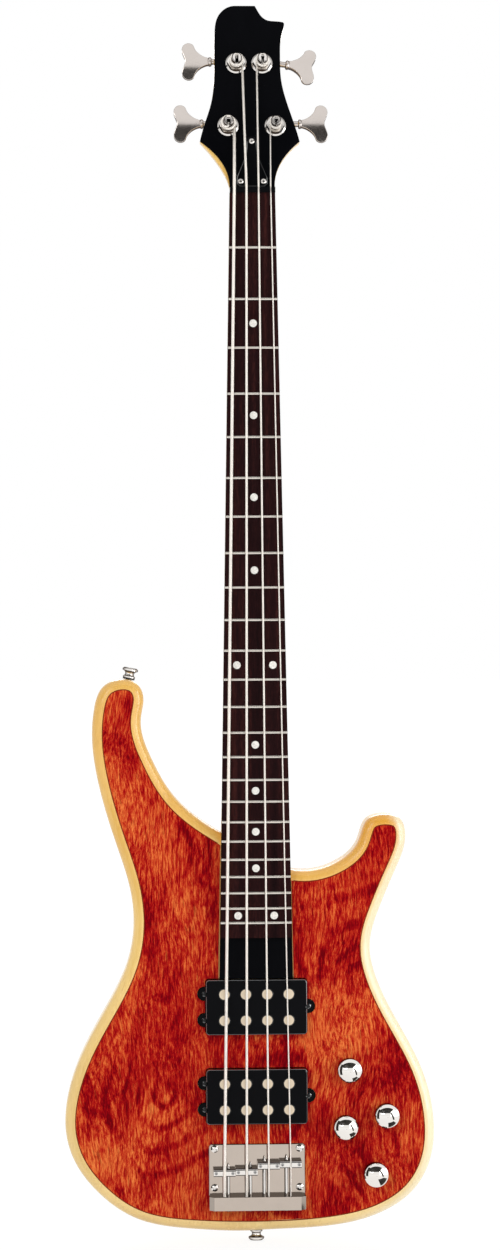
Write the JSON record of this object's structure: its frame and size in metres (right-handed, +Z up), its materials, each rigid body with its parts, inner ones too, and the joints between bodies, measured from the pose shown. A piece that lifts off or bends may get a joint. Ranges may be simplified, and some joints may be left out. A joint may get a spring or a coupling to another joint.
{
  "type": "electric bass guitar",
  "caption": "Solid-body electric bass guitar with two horns, bolt-on neck, tilted head with side tuners, black pickups, adjustable bridge and domed control knobs.",
  "frame": {"origin": "on the centre line at the nut's board edge, on the glue plane under the fingerboard", "axes": "+Z up the neck to the head, -Y the playing side, +X the treble side"},
  "size_m": [0.3292, 0.0631, 1.1061],
  "materials": {
    "maple": "amber gloss lacquer",
    "figured_top": "red stain under gloss lacquer",
    "fingerboard_wood": "oiled",
    "black_gloss": "gloss",
    "black_satin": "satin",
    "chrome": "polished",
    "nickel": "polished nickel",
    "string_wire": "round wound",
    "steel": "plain",
    "black_steel": "black plated",
    "pearl": "pearl",
    "coil_wire": "enamelled copper wire",
    "foam": "soft foam",
    "felt": "felt",
    "can": "plain"
  },
  "bodies": {
    "instrument": {"body_core": "maple", "neck": "maple", "body_top": "figured_top", "fingerboard": "fingerboard_wood", "headstock_face": "black_gloss", "truss_rod_cover": "black_gloss", "nut": "black_gloss", "heel_face": "black_gloss", "neck_pickup_cover": "black_gloss", "bridge_pickup_cover": "black_gloss", "control_cover": "black_satin", "pickup_screws": "black_steel", "tuner_housings": "chrome", "tuner_bushings": "chrome", "bridge_plate": "chrome", "strap_buttons": "chrome", "output_jack": "chrome", "neck_ferrules": "chrome", "frets": "nickel", "pickup_poles": "nickel", "bridge_screws": "nickel", "truss_cover_screws": "nickel", "tuner_screws": "nickel", "control_cover_screws": "nickel", "neck_screws": "nickel", "strap_button_screws": "nickel", "truss_rod": "steel", "string_e": "string_wire", "string_a": "string_wire", "string_d": "string_wire", "string_g": "string_wire", "position_dots": "pearl", "pickup_coils": "coil_wire", "pickup_foam": "foam", "strap_felts": "felt", "potentiometers": "can"},
    "tuner_key_e": {"tuner_key_e": "chrome"},
    "tuner_post_e": {"tuner_post_e": "chrome"},
    "tuner_key_a": {"tuner_key_a": "chrome"},
    "tuner_post_a": {"tuner_post_a": "chrome"},
    "tuner_key_d": {"tuner_key_d": "chrome"},
    "tuner_post_d": {"tuner_post_d": "chrome"},
    "tuner_key_g": {"tuner_key_g": "chrome"},
    "tuner_post_g": {"tuner_post_g": "chrome"},
    "intonation_screw_e": {"intonation_screw_e": "nickel"},
    "saddle_e": {"saddle_e": "chrome", "height_screws_e": "steel"},
    "intonation_screw_a": {"intonation_screw_a": "nickel"},
    "saddle_a": {"saddle_a": "chrome", "height_screws_a": "steel"},
    "intonation_screw_d": {"intonation_screw_d": "nickel"},
    "saddle_d": {"saddle_d": "chrome", "height_screws_d": "steel"},
    "intonation_screw_g": {"intonation_screw_g": "nickel"},
    "saddle_g": {"saddle_g": "chrome", "height_screws_g": "steel"},
    "neck_volume_knob": {"neck_volume_knob": "chrome"},
    "bridge_volume_knob": {"bridge_volume_knob": "chrome"},
    "bass_knob": {"bass_knob": "chrome"},
    "treble_knob": {"treble_knob": "chrome"}
  },
  "joints": [
    {"name": "tuner_key_e_turn", "type": "hinge", "parent": "instrument", "child": "tuner_key_e", "pos_m": [-0.0208, 0.02932, 0.06604], "axis": [-1, 0, 0], "continuous": true, "deforming": ["string_e"]},
    {"name": "tuner_post_e_turn", "type": "hinge", "parent": "instrument", "child": "tuner_post_e", "pos_m": [-0.0208, 0.00999, 0.06163], "axis": [0, -0.9848, 0.1736], "continuous": true, "deforming": ["string_e"]},
    {"name": "tuner_key_a_turn", "type": "hinge", "parent": "instrument", "child": "tuner_key_a", "pos_m": [-0.0129, 0.03944, 0.12345], "axis": [-1, 0, 0], "continuous": true, "deforming": ["string_a"]},
    {"name": "tuner_post_a_turn", "type": "hinge", "parent": "instrument", "child": "tuner_post_a", "pos_m": [-0.0129, 0.02011, 0.11904], "axis": [0, -0.9848, 0.1736], "continuous": true, "deforming": ["string_a"]},
    {"name": "tuner_key_d_turn", "type": "hinge", "parent": "instrument", "child": "tuner_key_d", "pos_m": [0.01114, 0.03943, 0.12339], "axis": [0.9925, -0.0212, -0.12], "continuous": true, "deforming": ["string_d"]},
    {"name": "tuner_post_d_turn", "type": "hinge", "parent": "instrument", "child": "tuner_post_d", "pos_m": [0.0102, 0.02011, 0.11904], "axis": [0, -0.9848, 0.1736], "continuous": true, "deforming": ["string_d"]},
    {"name": "tuner_key_g_turn", "type": "hinge", "parent": "instrument", "child": "tuner_key_g", "pos_m": [0.0214, 0.02932, 0.06604], "axis": [1, 0, 0], "continuous": true, "deforming": ["string_g"]},
    {"name": "tuner_post_g_turn", "type": "hinge", "parent": "instrument", "child": "tuner_post_g", "pos_m": [0.0214, 0.00999, 0.06163], "axis": [0, -0.9848, 0.1736], "continuous": true, "deforming": ["string_g"]},
    {"name": "intonation_screw_e_turn", "type": "hinge", "parent": "instrument", "child": "intonation_screw_e", "pos_m": [-0.0258, -0.0029, -0.8688], "axis": [0, 0, 1], "range_deg": [-2880, 2880], "deforming": ["string_e"]},
    {"name": "saddle_e_slide", "type": "slide", "parent": "instrument", "child": "saddle_e", "axis": [0, 0, 1], "range_m": [-0.004, 0.004], "deforming": ["string_e"]},
    {"name": "intonation_screw_a_turn", "type": "hinge", "parent": "instrument", "child": "intonation_screw_a", "pos_m": [-0.0062, -0.0029, -0.8678], "axis": [0, 0, 1], "range_deg": [-2880, 2880], "deforming": ["string_a"]},
    {"name": "saddle_a_slide", "type": "slide", "parent": "instrument", "child": "saddle_a", "axis": [0, 0, 1], "range_m": [-0.004, 0.004], "deforming": ["string_a"]},
    {"name": "intonation_screw_d_turn", "type": "hinge", "parent": "instrument", "child": "intonation_screw_d", "pos_m": [0.0062, -0.0029, -0.8626], "axis": [0, 0, 1], "range_deg": [-2880, 2880], "deforming": ["string_d"]},
    {"name": "saddle_d_slide", "type": "slide", "parent": "instrument", "child": "saddle_d", "axis": [0, 0, 1], "range_m": [-0.004, 0.004], "deforming": ["string_d"]},
    {"name": "intonation_screw_g_turn", "type": "hinge", "parent": "instrument", "child": "intonation_screw_g", "pos_m": [0.0258, -0.0029, -0.8617], "axis": [0, 0, 1], "range_deg": [-2880, 2880], "deforming": ["string_g"]},
    {"name": "saddle_g_slide", "type": "slide", "parent": "instrument", "child": "saddle_g", "axis": [0, 0, 1], "range_m": [-0.004, 0.004], "deforming": ["string_g"]},
    {"name": "neck_volume_knob_turn", "type": "hinge", "parent": "instrument", "child": "neck_volume_knob", "pos_m": [0.0826, 0.0025, -0.7798], "axis": [0, -1, 0], "range_deg": [-150, 150]},
    {"name": "bridge_volume_knob_turn", "type": "hinge", "parent": "instrument", "child": "bridge_volume_knob", "pos_m": [0.1157, 0.0025, -0.8204], "axis": [0, -1, 0], "range_deg": [-150, 150]},
    {"name": "bass_knob_turn", "type": "hinge", "parent": "instrument", "child": "bass_knob", "pos_m": [0.079, 0.0025, -0.8305], "axis": [0, -1, 0], "range_deg": [-150, 150]},
    {"name": "treble_knob_turn", "type": "hinge", "parent": "instrument", "child": "treble_knob", "pos_m": [0.1056, 0.0025, -0.8725], "axis": [0, -1, 0], "range_deg": [-150, 150]}
  ],
  "couplings": [
    {"joint": "tuner_post_e_turn", "follows": "tuner_key_e_turn", "ratio": 0.05},
    {"joint": "tuner_post_a_turn", "follows": "tuner_key_a_turn", "ratio": 0.05},
    {"joint": "tuner_post_d_turn", "follows": "tuner_key_d_turn", "ratio": -0.05},
    {"joint": "tuner_post_g_turn", "follows": "tuner_key_g_turn", "ratio": -0.05},
    {"joint": "intonation_screw_e_turn", "follows": "saddle_e_slide", "rad_per_m": -12566},
    {"joint": "intonation_screw_a_turn", "follows": "saddle_a_slide", "rad_per_m": -12566},
    {"joint": "intonation_screw_d_turn", "follows": "saddle_d_slide", "rad_per_m": -12566},
    {"joint": "intonation_screw_g_turn", "follows": "saddle_g_slide", "rad_per_m": -12566}
  ]
}
